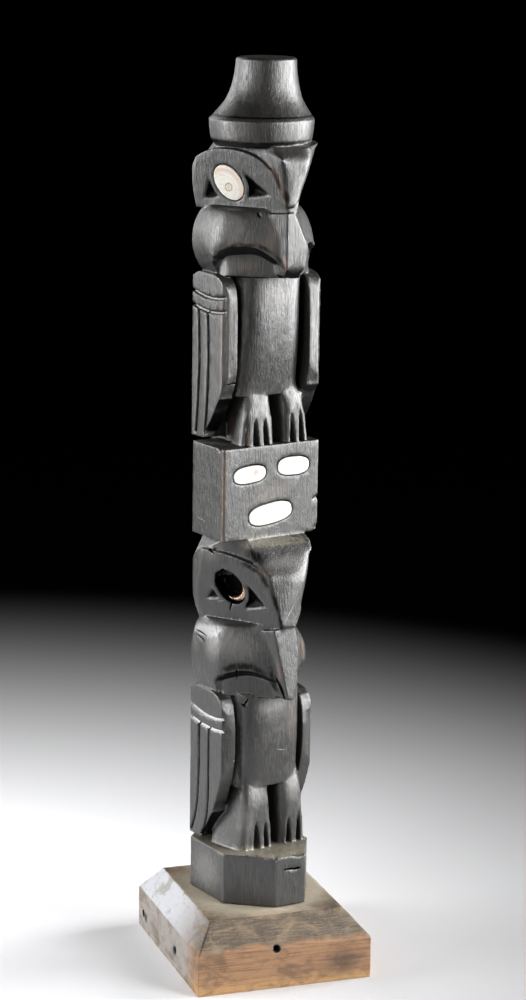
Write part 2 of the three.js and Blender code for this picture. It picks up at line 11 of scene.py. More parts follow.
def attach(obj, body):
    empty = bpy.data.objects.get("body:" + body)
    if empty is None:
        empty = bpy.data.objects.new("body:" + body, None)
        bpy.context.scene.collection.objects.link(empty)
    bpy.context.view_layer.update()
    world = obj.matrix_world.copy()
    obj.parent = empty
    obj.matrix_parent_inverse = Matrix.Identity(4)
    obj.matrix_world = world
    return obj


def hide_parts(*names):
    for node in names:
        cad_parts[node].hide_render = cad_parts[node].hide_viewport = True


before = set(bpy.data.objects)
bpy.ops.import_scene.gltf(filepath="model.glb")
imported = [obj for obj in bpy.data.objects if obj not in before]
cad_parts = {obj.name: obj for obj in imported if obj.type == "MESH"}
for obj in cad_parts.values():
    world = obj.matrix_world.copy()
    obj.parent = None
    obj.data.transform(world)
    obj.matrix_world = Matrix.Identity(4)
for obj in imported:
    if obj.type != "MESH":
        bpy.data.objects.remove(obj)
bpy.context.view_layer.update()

bl_info = {
    "name": "Model totem pole",
    "version": (1, 0, 0),
    "blender": (4, 5, 0),
    "location": "3D View > Sidebar > Totem",
    "description": "Finishes a carved model totem pole: its wood, its shell inlay and its worn base",
    "category": "Object",
}

MM = 0.001

# The pole stands turned on its base. Its carver's measures are millimetres: side (to the birds' left), front
# and height.
POLE_TURN = radians(14.2)
POLE_SHIFT = 0.7

# An eye panel: its open end at the back, its end at the beak, its foot and its lean outwards. The eye on it
# is an oval: how far along and up its middle is, half its length and breadth, and its turn.
UPPER_EYE = {
    "open": (-24.8, -15.8), "close": (-3.5, 24), "foot": 336.4, "lean": radians(6),
    "along": 17.05, "up": 11.5, "long": 8.4, "short": 5.9, "tilt": radians(131),
}
LOWER_EYE = {
    "open": (-24, -15), "close": (-3.8, 24.6), "foot": 156.3, "lean": radians(6),
    "along": 19.1, "up": 15.9, "long": 8.2, "short": 5.9, "tilt": radians(135),
}

# The base, in the frame's millimetres: its nail holes, each 2.6 mm square, a dark knot in its front edge, and
# the mitre from its upright edge to its flat top, in front where X is above 0. The other is its mirror.
NAIL_HOLES = [(-4.1, -45, 18.2), (-40, 37.9, 7.8), (-40, -11.5, 8.9)]
KNOT = {"middle": (27, -45, 9), "halves": (9, 6, 6)}
MITRE = {"foot": (40, -45.5, 18.7), "crown": (30.8, -34.9, 30.35), "halves": (9.2, 0.42, 2)}

# The lines on the wings bend away from `rest` by `sag` at a distance `reach` from their middle, on a curve of
# this power. Bands run front to back and rise at their ends. Feather lines run up and down between their ends
# and bend back.
WING_LINES = [
    {"runs": "front", "rest": 298.6, "sag": 2.6, "middle": -4, "reach": 15, "power": 2, "painted": "dull"},
    {"runs": "front", "rest": 292.6, "sag": 2.4, "middle": -4, "reach": 15, "power": 2, "painted": "dull"},
    {"runs": "height", "rest": -12.3, "sag": -2.3, "middle": 272.8, "reach": 34, "power": 2,
     "ends": (239, 292.8)},
    {"runs": "height", "rest": -5.4, "sag": -2.2, "middle": 271.8, "reach": 32, "power": 2,
     "ends": (239, 292.8)},
    {"runs": "front", "rest": 113.1, "sag": 3.4, "middle": -2, "reach": 16, "power": 2, "painted": "white"},
    {"runs": "front", "rest": 108, "sag": 2.1, "middle": -2, "reach": 16, "power": 2, "painted": "white"},
    {"runs": "height", "rest": -10.2, "sag": -6.2, "middle": 107.9, "reach": 51.4, "power": 5,
     "ends": (57, 109)},
    {"runs": "height", "rest": -2.5, "sag": -4.9, "middle": 107.7, "reach": 50, "power": 7,
     "ends": (57, 109)},
]
LINE_CUT = {"half": 0.8, "depth": 1.1}
RIM_SEAM = 375.8  # the dark seam round the hat, above its rim: painted shade in the crease there
WING_FACE = 22.3  # the wings' outer faces lie outside this side measure, and behind the front measure below
WING_FRONT = 8.6

# The hollows at an eye's corners, in millimetres from its panel's open end and foot, and below its face. No
# depth is kept past the most.
EYE_CORNERS = {"along": (4, 38), "up": (2.6, 19), "deepest": 7, "most": 6}

# The emptied socket. In its eye's own measures: the middle of the hollow that the crescent of glue stands
# round, as it is cut and as it is stained. In millimetres: where its floor starts, how far the hollow is sunk
# in the floor, and how far the crescent stands up from it.
SOCKET = {"cut": (0.42, 0.05), "stained": (0.36, 0.04, 0), "floor": -2.4, "sunk": 3.4, "crescent": 1.2}

# Patches on the wood: side, front and height of the middle, the way the surface faces (degrees round the
# pole, 0 at its front), lean from level in degrees, half length and half breadth.
PATCH_DEPTH = 3  # half of what every patch takes in, into the wood
CRACKS = [
    (0.6, 28.4, 47.4, -6, -4, 2.6, 0.3),
    (3.6, 28.8, 47.3, -6, 8, 1.2, 0.4),
    (-13.6, 11.8, 121.4, -40, 62, 1.5, 0.3),
    (-14.4, 11.2, 120.2, -40, -40, 0.9, 0.3),
    (-22.2, -4.2, 187.4, -63, -24, 1.3, 0.32),
    (-23.8, -9, 149.8, -84, -6, 3.4, 0.24),
    (-23.8, -9.5, 147.8, -84, -12, 3, 0.22),
    (-16.9, 9.4, 134.8, -40, 88, 2.2, 0.3),
    (-15, 2.2, 164, -63, 70, 1.9, 0.3),
    (-11.6, 13.9, 335.1, -43, -50, 0.9, 0.32),
    (-3.4, 24.1, 129.4, -60, -67, 4, 0.5),
    (-17.6, 9.1, 262.6, -10, 0, 4, 0.28),
]
CHIPS = [
    (23.6, 9.3, 208.9, 20, 20, 2.2, 1.1),
    (4.6, 29.4, 53.5, -6, 3, 3.4, 0.9),
    (-7.4, 28, 53.5, -30, 0, 1.4, 0.8),
    (-21.6, -3.3, 188.2, -63, -20, 0.9, 0.35),
    (-24.7, 6.4, 234.6, -70, 40, 1.3, 0.7),
    (24, 9, 195, 30, 0, 2, 2.2),
]
SCRATCHES = [
    (-24.7, -8.4, 201.2, -90, -8, 3.6, 0.22),
    (3.4, 15, 98.3, 5, -12, 2.4, 0.2),
    (-23.2, -7, 149.2, -84, -3, 4, 0.25),
    (-23.8, -5, 280.5, -87, 0, 0.5, 0.5),
    (-17.3, 9.1, 94.8, -20, 0, 0.55, 0.55),
    (0.4, 24.7, 163.4, 0, 58, 4.2, 0.22),
    (-20.4, -0.6, 165.2, -63, 16, 3.2, 0.3),
]
WORN = [  # through to brown wood
    (-24.7, 9.2, 215, -50, 90, 21, 0.7),
    (-7.6, 18.6, 354, -67, -62, 5, 0.9),
    (-5.5, 22.4, 346, -67, -78, 6, 0.9),
    (-4.6, 24, 315, -74, -80, 4, 1.1),
    (-4.5, 24.1, 137.8, -73, -84, 5, 0.8),
    (18.1, 9.5, 141.5, 44, 60, 5, 1.9),
    (-23.4, 3.8, 280, -70, 90, 21, 0.5),
    (23.8, 3.6, 282, 70, 90, 17, 0.7),
    (-11.9, 8, 238.2, -77, 90, 2.8, 0.8),
    (20.2, 8.4, 240, 60, 90, 3.6, 0.8),
]
RUBBED = [  # brown under thin stain
    (-9, 19.5, 323, -50, 80, 12, 3),
    (-15.5, 13, 322.6, -43, 4, 8.5, 3.4),
    (-15.5, 8.1, 313.4, -43, 2, 8, 2.2),
    (-9.4, 18, 182, -50, 50, 5, 3),
    (-13.5, -4, 243, -20, 90, 5, 3),
    (-20, 9.2, 369, -59, 0, 6, 2),
    (0, 9.3, 213, 0, 20, 12, 4),
    (10, 14, 112, 20, 90, 9, 4),
]
PAINTED_SHEEN = [  # painted sheen: lighter grey where the lights shine on the stain
    (-22, 1, 329, -68, 0, 14, 8),
    (-20.8, 6.7, 284, -13, 90, 25, 2.4),
    (-20, 5, 147, -55, 0, 16, 8),
    (10.4, 13.4, 78.5, -4, 90, 6, 3.6),
    (-8.5, 13.2, 78.5, -2, 90, 6, 4.4),
    (-13, 12, 68, -30, 90, 9, 4),
    (-24, -3, 42, -90, 0, 11, 10),
    (2, 18.5, 184, -6, 0, 11, 4),
    (-21, -5, 188, -40, 0, 7, 6),
    (-1, 11.5, 299, -2, 0, 9, 8),
    (-2, 15, 119, -2, 0, 8, 4),
    (-10, 8.8, 255, -2, 90, 8, 3),
    (11, 8.8, 256, -2, 90, 8, 3),
]
PAINTED_SHADE_PATCHES = [  # painted shade: near black in the mouth bands, by the beaks and on the bellies beside the wings
    (-20.4, 6.6, 321.6, -40, 28, 5, 1),
    (-15.4, 11.9, 322.6, -43, 0, 5, 0.9),
    (-10.8, 16.8, 321.6, -45, -28, 5, 1),
    (-23.4, -1, 314.6, -35, 40, 4, 1.6),
    (-5.6, 22.4, 315.6, -60, -50, 4, 1.5),
    (-7, 20.2, 351, -67, -68, 10, 1.2),
    (-4.2, 24, 342, -50, -78, 5, 1.3),
    (-2.4, 24.5, 339.4, -10, 0, 3.4, 1),
    (-19.4, 8.6, 137.6, -40, 26, 5.4, 1.7),
    (-15.2, 13, 138.4, -44, 0, 6, 1.8),
    (-10.2, 16.2, 137.2, -46, -28, 6, 2),
    (-21.9, 3.4, 131.6, -30, 45, 4.4, 1.7),
    (-4.4, 20.6, 129.6, -70, -50, 4, 1.6),
    (-13, 12.6, 182.8, -63, -20, 6, 1.3),
    (-9.3, 18.6, 177.6, -63, -52, 5.4, 1.3),
    (-6, 22.6, 168, -63, -70, 6.5, 1.1),
    (-4, 24.6, 158.6, -50, -76, 4.6, 1.2),
    (-11.7, 13.1, 187.7, -34, -14, 7, 3.2),
    (-5.5, 21, 134, -60, -78, 8, 1.3),
    (-14.4, 5, 292, -40, 90, 16, 1.5),
    (-14.2, 9, 100, -40, 90, 22, 1.2),
]
# Painted highlight: near white where a light shines on the lower bird's cheek.
PAINTED_HIGHLIGHTS = [
    (-23, -6, 151.5, -85, 4, 11, 3),
]
DUSTY = [
    (-2, 11, 192.6, -6, -3, 19, 2.8),
    (-8, 14, 53.6, -20, 0, 30, 2),
    (0, 25, 53.6, 0, 0, 14, 1.6),
    (-20, -8, 235, -60, 0, 9, 1.4),
]

# The soft patches. The carved mesh keeps how far each vertex is from the nearest of a kind, under its name.
SOFT_PATCHES = {"rubbed": RUBBED, "pale": PAINTED_SHEEN, "painted_shade": PAINTED_SHADE_PATCHES, "painted_highlight": PAINTED_HIGHLIGHTS, "dusty": DUSTY}

# Edges sharper than this stay crisp, in degrees: where the wood turns in, and where it turns out. Between
# some heights and some front measures, flats are blended across sharper turns into one swell: low, high,
# back, front and that turn.
CRISP_IN, CRISP_OUT = 13, 22
BLENDED = [
    (124, 153, -30, 30, 37), (308.8, 333.6, -30, 30, 37), (153, 158, -30, 30, 75), (333.6, 338, -30, 30, 75),
    (124, 153, -2, 8, 60), (308.8, 333.6, -2, 8, 60), (172, 188, 19.5, 30, 58), (178, 194, 4, 26, 50),
    (341, 362, 18, 30, 72), (62, 88, -5, 30, 62), (246, 262, -5, 30, 62),
]

EDGE_STEP = 0.4  # between the points looked up along a crisp edge, in millimetres
CRISP_RIM = (0.5, 2.2)  # smoothing sets in between these distances from a crisp edge, in millimetres
SOFT_LEVELS = 40  # of smoothing, each a vertex weight
EDGE_RELIEF, FORM_RELIEF = 16, 140  # rounds of smoothing that edges, and whole forms, are measured against
MOST_TRIANGLES = {"base": 90000, "pole": 190000, "shell": 14000}
BASE_CRISP = 0.3  # how much of the smoothing the base's edges get
FAR = 50.0  # millimetres or patch sizes, past any mask
FAR_PATCH = 5  # the most that is kept of the distance to a soft patch, in patch sizes

# The unevenness that a knife leaves, by size and depth in millimetres. The pole's have shares of its depth.
BASE_SWAY, SHELL_SWAY = (7, 0.35), (3, 0.16)
POLE_SWAYS = ((6, 1), (1.8, 0.6))

# The paper: the middle of its painted pool of light and the rise of its curve, in metres, and how far from
# that middle it is painted dark and how near it is pale, in millimetres.
PAPER = {"lit": (-0.168, 0.058, 0), "rise": 0.9, "dark": 660, "pale": 150}

# The lights: azimuth and rise seen from the part in degrees, distance, size across and up in metres, watts.
LIGHTS = {
    "left_softbox": (-103, 12, 1.1, 0.6, 0.8, 15),
    "back_left_softbox": (-157, 20, 1.1, 0.5, 0.7, 4.5),
    "front_softbox": (43, 12, 1.1, 0.5, 0.9, 17),
    "right_softbox": (86, 12, 1.1, 0.6, 0.9, 26),
    "cheek_strip": (-52, 8, 1.1, 0.25, 0.9, 2.4),
    "top_softbox": (-62, 48, 1.2, 0.6, 0.6, 9),
}
LIT_HEIGHT = 0.2  # the height in metres that the lights face
CAMERA = {"azimuth": radians(19.09), "pitch": radians(12.486), "roll": radians(0.839), "side_step": 0.0021}


# ---------------------------------------------------------------- meshes


def carvers_measures(points):
    """Points of the frame, in metres, as the pole's side, front and height in millimetres."""
    x = points[:, 0] / MM - POLE_SHIFT
    y = points[:, 1] / MM
    side = x * cos(POLE_TURN) + y * sin(POLE_TURN)
    front = x * sin(POLE_TURN) - y * cos(POLE_TURN)
    return np.stack([side, front, points[:, 2] / MM], 1)


def in_frame(side, front, height):
    """A point in the carver's measures as a point of the frame, in metres."""
    place = Matrix.Rotation(POLE_TURN, 4, "Z") @ Vector((side, -front, height))
    return (place + Vector((POLE_SHIFT, 0, 0))) * MM


def eye_place(eye):
    """An eye's own measures, 1 from its middle at its outline: X along its length, Z out of the panel."""
    close, opened = (in_frame(*eye[end], 0) for end in ("close", "open"))
    along = (close - opened).normalized()
    outward = along.cross(Vector((0, 0, 1)))
    up = Vector((0, 0, cos(eye["lean"]))) + outward * sin(eye["lean"])
    axes = Matrix((along, up, along.cross(up))).transposed().to_4x4()
    corner = Matrix.Translation(in_frame(*eye["open"], eye["foot"]))
    middle = Matrix.Translation(Vector((eye["along"], eye["up"], 0)) * MM)
    sizes = Matrix.Diagonal((eye["long"] * MM, eye["short"] * MM, MM, 1))
    return corner @ axes @ middle @ Matrix.Rotation(eye["tilt"], 4, "Z") @ sizes


def patch_place(patch):
    """A patch's own measures, in which its outline is 1 from its middle: X along it, Y into the wood."""
    side, front, height, facing, lean, long, short = patch
    turn = Matrix.Rotation(radians(facing) + POLE_TURN, 4, "Z") @ Matrix.Rotation(-radians(lean), 4, "Y")
    sizes = Matrix.Diagonal((long * MM, PATCH_DEPTH * MM, short * MM, 1))
    return Matrix.Translation(in_frame(side, front, height)) @ turn @ sizes


def measured_in(place, points):
    """Points of the frame in the measures of a place on the part."""
    inverse = np.array(place.inverted())
    return points @ inverse[:3, :3].T + inverse[:3, 3]


def distance_to_line(line, measures):
    """How far points of the pole are from one of the lines on its wings, in millimetres."""
    along, across = (measures[:, 1], measures[:, 2]) if line["runs"] == "front" else measures[:, [2, 1]].T
    rest = line["rest"] + line["sag"] * np.abs((along - line["middle"]) / line["reach"]) ** line["power"]
    return np.abs(across - rest)


def merged_copy(node):
    """A copy of a CAD node's mesh as a piece of its own, its loose triangles joined."""
    shape = bmesh.new()
    shape.from_mesh(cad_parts[node].data)
    bmesh.ops.remove_doubles(shape, verts=shape.verts, dist=0.002 * MM)
    mesh = bpy.data.meshes.new(node + "_carved")
    shape.to_mesh(mesh)
    shape.free()
    mesh.materials.clear()
    piece = bpy.data.objects.new(node + "_carved", mesh)
    bpy.context.scene.collection.objects.link(piece)
    return piece


def crisp_edges(piece, blended=()):
    """Points along the edges that stay crisp, to look up the nearest of."""
    shape = bmesh.new()
    shape.from_mesh(piece.data)
    points = []
    for edge in shape.edges:
        if len(edge.link_faces) != 2:
            continue
        start, end = (vertex.co for vertex in edge.verts)
        middle = carvers_measures(np.array([(start + end) / 2]))[0]
        limits = [angle for low, high, back, front, angle in blended
                  if low < middle[2] < high and back < middle[1] < front]
        turn = np.degrees(edge.calc_face_angle_signed(0))
        if -CRISP_IN < turn < max(limits, default=CRISP_OUT):
            continue
        steps = int(edge.calc_length() / (EDGE_STEP * MM)) + 1
        points += [start.lerp(end, i / steps) for i in range(steps + 1)]
    shape.free()
    tree = KDTree(len(points))
    for i, point in enumerate(points):
        tree.insert(point, i)
    tree.balance()
    return tree


def modified(piece, kind, **settings):
    """Runs one modifier on a piece and keeps its result as the piece's mesh."""
    modifier = piece.modifiers.new(kind.lower(), kind)
    for name, value in settings.items():
        setattr(modifier, name, value)
    graph = bpy.context.evaluated_depsgraph_get()
    mesh = bpy.data.meshes.new_from_object(piece.evaluated_get(graph), depsgraph=graph)
    piece.modifiers.clear()
    old = piece.data
    piece.data = mesh
    mesh.name = piece.name
    bpy.data.meshes.remove(old)
    return piece


def read(items, name, width, kind=np.float32):
    """A property of every vertex or edge, one row each."""
    values = np.empty(len(items) * width, kind)
    items.foreach_get(name, values)
    return values.reshape(-1, width)


def smoothstep(low, high, values):
    """A smooth step from 0 at low to 1 at high."""
    share = np.clip((values - low) / (high - low), 0, 1)
    return share * share * (3 - 2 * share)


def soften(piece, edges, crisp, rounds):
    """Smooths the facets away. The crisp edges get only a share of that smoothing, and so does their rim."""
    away = np.array([edges.find(vertex.co)[2] for vertex in piece.data.vertices]) / MM
    free = crisp + (1 - crisp) * smoothstep(*CRISP_RIM, away)
    group = piece.vertex_groups.new(name="soft")
    levels = np.round(np.sqrt(free) * SOFT_LEVELS).astype(int)
    for level in range(1, SOFT_LEVELS + 1):
        group.add(np.flatnonzero(levels == level).tolist(), (level / SOFT_LEVELS) ** 2, "REPLACE")
    modified(piece, "SMOOTH", factor=0.5, iterations=rounds, vertex_group="soft")
    piece.vertex_groups.clear()


def sway(piece, size, depth):
    """Makes a surface uneven, as a knife leaves it: hollows of this size and depth in millimetres."""
    texture = bpy.data.textures.new("unevenness", "CLOUDS")
    texture.noise_scale = size * MM
    modified(piece, "DISPLACE", texture=texture, texture_coords="LOCAL", strength=depth * MM)
    bpy.data.textures.remove(texture)


def press_in(mesh, depths):
    """Moves each point into the surface by its own depth in millimetres."""
    places = read(mesh.vertices, "co", 3)
    normals = read(mesh.vertex_normals, "vector", 3)
    moved = places - normals * (depths * MM)[:, None]
    mesh.vertices.foreach_set("co", moved.astype(np.float32).ravel())
    mesh.update()


def keep(mesh, name, values):
    """Stores a number at every vertex, for the materials."""
    attribute = mesh.attributes.new(name, "FLOAT", "POINT")
    attribute.data.foreach_set("value", values.astype(np.float32))


def measure_relief(piece, name, rounds):
    """Keeps how far points stand out of their surroundings, in millimetres: edges above 0, hollows below."""
    mesh = piece.data
    places = read(mesh.vertices, "co", 3)
    normals = read(mesh.vertex_normals, "vector", 3)
    level = bpy.data.objects.new("level", mesh.copy())
    bpy.context.scene.collection.objects.link(level)
    modified(level, "SMOOTH", factor=0.5, iterations=rounds)
    around = read(level.data.vertices, "co", 3)
    bpy.data.objects.remove(level)
    keep(mesh, name, np.einsum("ij,ij->i", places - around, normals) / MM)


def thin(piece, kind):
    """Thins a mesh out, where it is flattest, to the most triangles its kind may have."""
    piece.data.calc_loop_triangles()
    share = MOST_TRIANGLES[kind] / len(piece.data.loop_triangles)
    if share < 1:
        modified(piece, "DECIMATE", ratio=share, use_collapse_triangulate=True)


def finish(piece, node, material):
    """Puts a finished piece on the part in place of its CAD node."""
    piece.data.materials.clear()
    piece.data.materials.append(material)
    piece.data.shade_smooth()
    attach(piece, "root")
    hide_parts(node)


# ---------------------------------------------------------------- materials


def colour(hex_code):
    """An sRGB hex colour as linear RGBA."""
    channels = [int(hex_code[i:i + 2], 16) / 255 for i in (1, 3, 5)]
    return [c / 12.92 if c < 0.04045 else ((c + 0.055) / 1.055) ** 2.4 for c in channels] + [1]


def add(tree, kind, inputs=None, **settings):
    """Adds a node with its settings. Each input is a value, another node (its first output) or an output."""
    made = tree.nodes.new(kind)
    for name, value in settings.items():
        setattr(made, name, value)
    for name, value in (inputs or {}).items():
        if isinstance(value, bpy.types.Node):
            value = value.outputs[0]
        if isinstance(value, bpy.types.NodeSocket):
            tree.links.new(value, made.inputs[name])
        else:
            made.inputs[name].default_value = value
    return made


def new_material(name, ior):
    """An empty material, and its tree with the shader joined to the output."""
    material = bpy.data.materials.new(name)
    material.use_nodes = True
    tree = material.node_tree
    tree.nodes.clear()
    shader = add(tree, "ShaderNodeBsdfPrincipled", {"IOR": ior})
    add(tree, "ShaderNodeOutputMaterial", {"Surface": shader})
    return material, tree, shader


def placed(tree, place):
    """The piece's own coordinates, measured in a place on the part."""
    location, turn, sizes = place.decompose()
    inputs = {
        "Vector": add(tree, "ShaderNodeTexCoord").outputs["Object"],
        "Location": location,
        "Rotation": turn.to_euler(),
        "Scale": sizes,
    }
    return add(tree, "ShaderNodeMapping", inputs, vector_type="TEXTURE")


def streaks(tree, place, size, detail=3.0, roughness=0.6, distortion=0.0):
    """Noise whose blots have these sizes in millimetres along X, Y and Z."""
    stretched = add(tree, "ShaderNodeVectorMath", {0: place, 1: [1 / s for s in size]}, operation="MULTIPLY")
    inputs = {
        "Vector": stretched,
        "Scale": 1.0,
        "Detail": detail,
        "Roughness": roughness,
        "Distortion": distortion,
    }
    return add(tree, "ShaderNodeTexNoise", inputs)


def mask(tree, pattern, low, high, strength=1.0, ragged=None, amount=0.0):
    """A smooth step from 0 at low to its strength at high, its edge made ragged by another pattern."""
    if ragged:
        centred = add(tree, "ShaderNodeMath", {0: ragged, 1: 0.5}, operation="SUBTRACT")
        inputs = {0: centred, 1: amount, 2: pattern}
        pattern = add(tree, "ShaderNodeMath", inputs, operation="MULTIPLY_ADD")
    inputs = {"Value": pattern, "From Min": low, "From Max": high, "To Max": strength}
    return add(tree, "ShaderNodeMapRange", inputs, interpolation_type="SMOOTHSTEP")


def coated(tree, ground, coats):
    """A colour with others laid over it, each by its mask."""
    for cover, over in coats:
        inputs = {0: cover, 6: ground, 7: over}
        ground = add(tree, "ShaderNodeMix", inputs, data_type="RGBA").outputs[2]
    return ground


def nearest(tree, places):
    """The distance to the nearest of some places, 1 at its outline."""
    away = FAR
    for place in places:
        reach = add(tree, "ShaderNodeVectorMath", {0: placed(tree, place)}, operation="LENGTH")
        away = add(tree, "ShaderNodeMath", {0: away, 1: reach.outputs["Value"]}, operation="MINIMUM")
    return away


def drawn_lines(tree, split, lines):
    """The distance in millimetres to the nearest of these lines on the wings, in the carver's measures."""
    away = FAR
    for line in lines:
        along, across = (split.outputs[axis] for axis in ("YZ" if line["runs"] == "front" else "ZY"))
        steps = [
            ("SUBTRACT", line["middle"]), ("DIVIDE", line["reach"]), ("ABSOLUTE", 0.0),
            ("POWER", line["power"]), ("MULTIPLY", line["sag"]), ("ADD", line["rest"]),
            ("SUBTRACT", across), ("ABSOLUTE", 0.0),
        ]
        value = along
        for step, amount in steps:
            value = add(tree, "ShaderNodeMath", {0: value, 1: amount}, operation=step)
        for past, end in zip(("LESS_THAN", "GREATER_THAN"), line.get("ends", ())):
            past = add(tree, "ShaderNodeMath", {0: along, 1: end}, operation=past)
            value = add(tree, "ShaderNodeMath", {0: past, 1: FAR, 2: value}, operation="MULTIPLY_ADD")
        away = add(tree, "ShaderNodeMath", {0: away, 1: value}, operation="MINIMUM")
    return away


def wing_paint(tree, split):
    """The masks of the wings' feather lines, their white bands and their dull bands."""
    outward = add(tree, "ShaderNodeMath", {0: split.outputs[0]}, operation="ABSOLUTE")
    on_face = mask(tree, outward, WING_FACE - 0.3, WING_FACE)
    behind = mask(tree, split.outputs[1], WING_FRONT + 1.5, WING_FRONT + 0.8)
    on_wing = add(tree, "ShaderNodeMath", {0: on_face, 1: behind}, operation="MULTIPLY")
    paints = []
    for key, kind, outer, inner in (
        ("runs", "height", 0.8, 0.45),
        ("painted", "white", 0.9, 0.65),
        ("painted", "dull", 0.62, 0.35),
    ):
        lines = [line for line in WING_LINES if line.get(key) == kind]
        drawn = mask(tree, drawn_lines(tree, split, lines), outer, inner)
        paints.append(add(tree, "ShaderNodeMath", {0: drawn, 1: on_wing}, operation="MULTIPLY"))
    return paints


def from_middle(tree, place, weights, middle=None):
    """The distance from a place's own middle, or from another point, with its axes weighted."""
    if middle:
        place = add(tree, "ShaderNodeVectorMath", {0: place, 1: middle}, operation="SUBTRACT")
    weighted = add(tree, "ShaderNodeVectorMath", {0: place, 1: weights}, operation="MULTIPLY")
    return add(tree, "ShaderNodeVectorMath", {0: weighted}, operation="LENGTH").outputs["Value"]


def blackened_wood(sizes):
    """Close-grained softwood, knife finished, stained black and handled until the stain shines."""
    material, tree, shader = new_material("blackened_carved_wood", 1.85)
    standing = Matrix.Translation((POLE_SHIFT * MM, 0, 0)) @ Matrix.Rotation(POLE_TURN, 4, "Z")
    turned = placed(tree, standing @ Matrix.Scale(MM, 4))
    measures = add(tree, "ShaderNodeVectorMath", {0: turned, 1: (1, -1, 1)}, operation="MULTIPLY")
    relief = add(tree, "ShaderNodeAttribute", attribute_name="relief").outputs["Fac"]
    sunk = add(tree, "ShaderNodeAttribute", attribute_name="hollow").outputs["Fac"]
    corner = add(tree, "ShaderNodeAttribute", attribute_name="cut").outputs["Fac"]
    split = add(tree, "ShaderNodeSeparateXYZ", {0: measures})
    height = split.outputs[2]

    grain = streaks(tree, measures, (0.7, 0.7, 9), detail=4)
    pores = streaks(tree, measures, (0.45, 0.45, 1.6), detail=2)
    mottle = streaks(tree, measures, (7, 7, 12), detail=4, distortion=0.6)
    scuffs = streaks(tree, measures, (1.5, 1.5, 3), detail=5, roughness=0.7)
    fine = streaks(tree, measures, (0.6, 0.6, 0.9), detail=3)

    feather, white, dull = wing_paint(tree, split)
    worn = nearest(tree, map(patch_place, WORN))
    rubbed, pale, painted_shade, painted_highlight, dusty = (
        add(tree, "ShaderNodeAttribute", attribute_name=name).outputs["Fac"] for name in SOFT_PATCHES)
    seam = add(tree, "ShaderNodeMath", {0: height, 1: RIM_SEAM}, operation="SUBTRACT")
    seam = add(tree, "ShaderNodeMath", {0: seam}, operation="ABSOLUTE")
    facing = add(tree, "ShaderNodeNewGeometry").outputs["Normal"]
    upward = add(tree, "ShaderNodeSeparateXYZ", {0: facing}).outputs[2]
    ledge = mask(tree, upward, 0.7, 0.95, mask(tree, height, 60, 54, 0.9))
    cracked = nearest(tree, map(patch_place, CRACKS))
    chipped = nearest(tree, map(patch_place, CHIPS))
    scratched = nearest(tree, map(patch_place, SCRATCHES))

    socket = placed(tree, eye_place(LOWER_EYE))
    from_socket = from_middle(tree, socket, (1, 1, 0.15))
    from_hollow = from_middle(tree, socket, (1, 1, 0.1), SOCKET["stained"])
    inside = mask(tree, from_socket, 1.02, 0.95)
    glue = mask(tree, from_hollow, 1.0, 1.1, 1.0, fine, 0.9)
    glue = add(tree, "ShaderNodeMath", {0: glue, 1: inside}, operation="MULTIPLY")

    # Painted shade: the feather lines, the cracks, the eyes' corners, the undersides, the shaded patches, the
    # crease round the hat and the hollows are painted near black, where no light comes back at all.
    black = feather
    for pooled in (
        mask(tree, cracked, 1.8, 1.2, 1.0, fine, 0.9),
        mask(tree, corner, 0.2, 0.7, 0.95),
        mask(tree, upward, -0.32, -0.56, 0.9),
        mask(tree, painted_shade, 1.4, 0.3, 0.8, scuffs, 1.5),
        mask(tree, seam, 0.55, 0.25, 0.8, fine, 0.5),
        mask(tree, relief, -0.08, -0.3, 0.8),
    ):
        black = add(tree, "ShaderNodeMath", {0: black, 1: pooled}, operation="MAXIMUM")

    skin = coated(tree, colour("#191816"), [
        (mask(tree, mottle, 0.45, 0.7, 0.8), colour("#2a2825")),
        (mask(tree, grain, 0.52, 0.72, 0.7), colour("#403d38")),
        (mask(tree, grain, 0.47, 0.32, 0.85), colour("#090808")),
        (mask(tree, pores, 0.42, 0.3, 0.6), colour("#060505")),
        # Painted sheen: lighter grey where the lights shine on the stain.
        (mask(tree, pale, 1.3, 0.3, 0.6, scuffs, 1.6), colour("#6b6965")),
        # Painted highlight on the lower bird's cheek.
        (mask(tree, painted_highlight, 1.2, 0.5, 0.7, scuffs, 1.6), colour("#b4b5b6")),
        (mask(tree, rubbed, 1.4, 0.2, 0.7, scuffs, 2.0), colour("#463a2e")),
        (mask(tree, relief, 0.3, 0.6, 0.3, scuffs, 0.8), colour("#857b6c")),
        (mask(tree, worn, 1.3, 0.6, 0.6, scuffs, 3.0), colour("#76553e")),
        # Painted shade: near black in the hollows of the carved forms.
        (mask(tree, sunk, -0.25, -0.9, 0.9), colour("#050404")),
        (mask(tree, scuffs, 0.35, 0.55, ledge), colour("#7d7568")),
        (mask(tree, dusty, 1.4, 0.5, 0.5, scuffs, 4.0), colour("#8b8472")),
        (mask(tree, scratched, 1.2, 0.8, 0.45, fine, 0.8), colour("#a5a197")),
        (dull, colour("#8a8881")),
        (white, colour("#d2d2d2")),
        # Painted shade: the near black of the cuts, undersides and shaded places.
        (black, colour("#030303")),
        (mask(tree, chipped, 1.1, 0.9, 0.9, fine, 1.2), colour("#2c2119")),
        (mask(tree, from_socket, 1.3, 1.02, 0.9, fine, 1.1), colour("#060504")),
        # Painted shade over the black stain: near black inside the emptied socket.
        (inside, colour("#080403")),
        (mask(tree, from_hollow, 0.9, 0.6, inside, scuffs, 0.8), colour("#2c1109")),
        (glue, colour("#c3a794")),
    ])
    gloss = mask(tree, scuffs, 0.3, 0.7, 0.14)
    gloss = add(tree, "ShaderNodeMath", {0: gloss, 1: mask(tree, grain, 0.52, 0.34, 0.22)}, operation="ADD")
    gloss = add(tree, "ShaderNodeMath", {0: gloss, 1: sizes.gloss - 0.1}, operation="ADD")
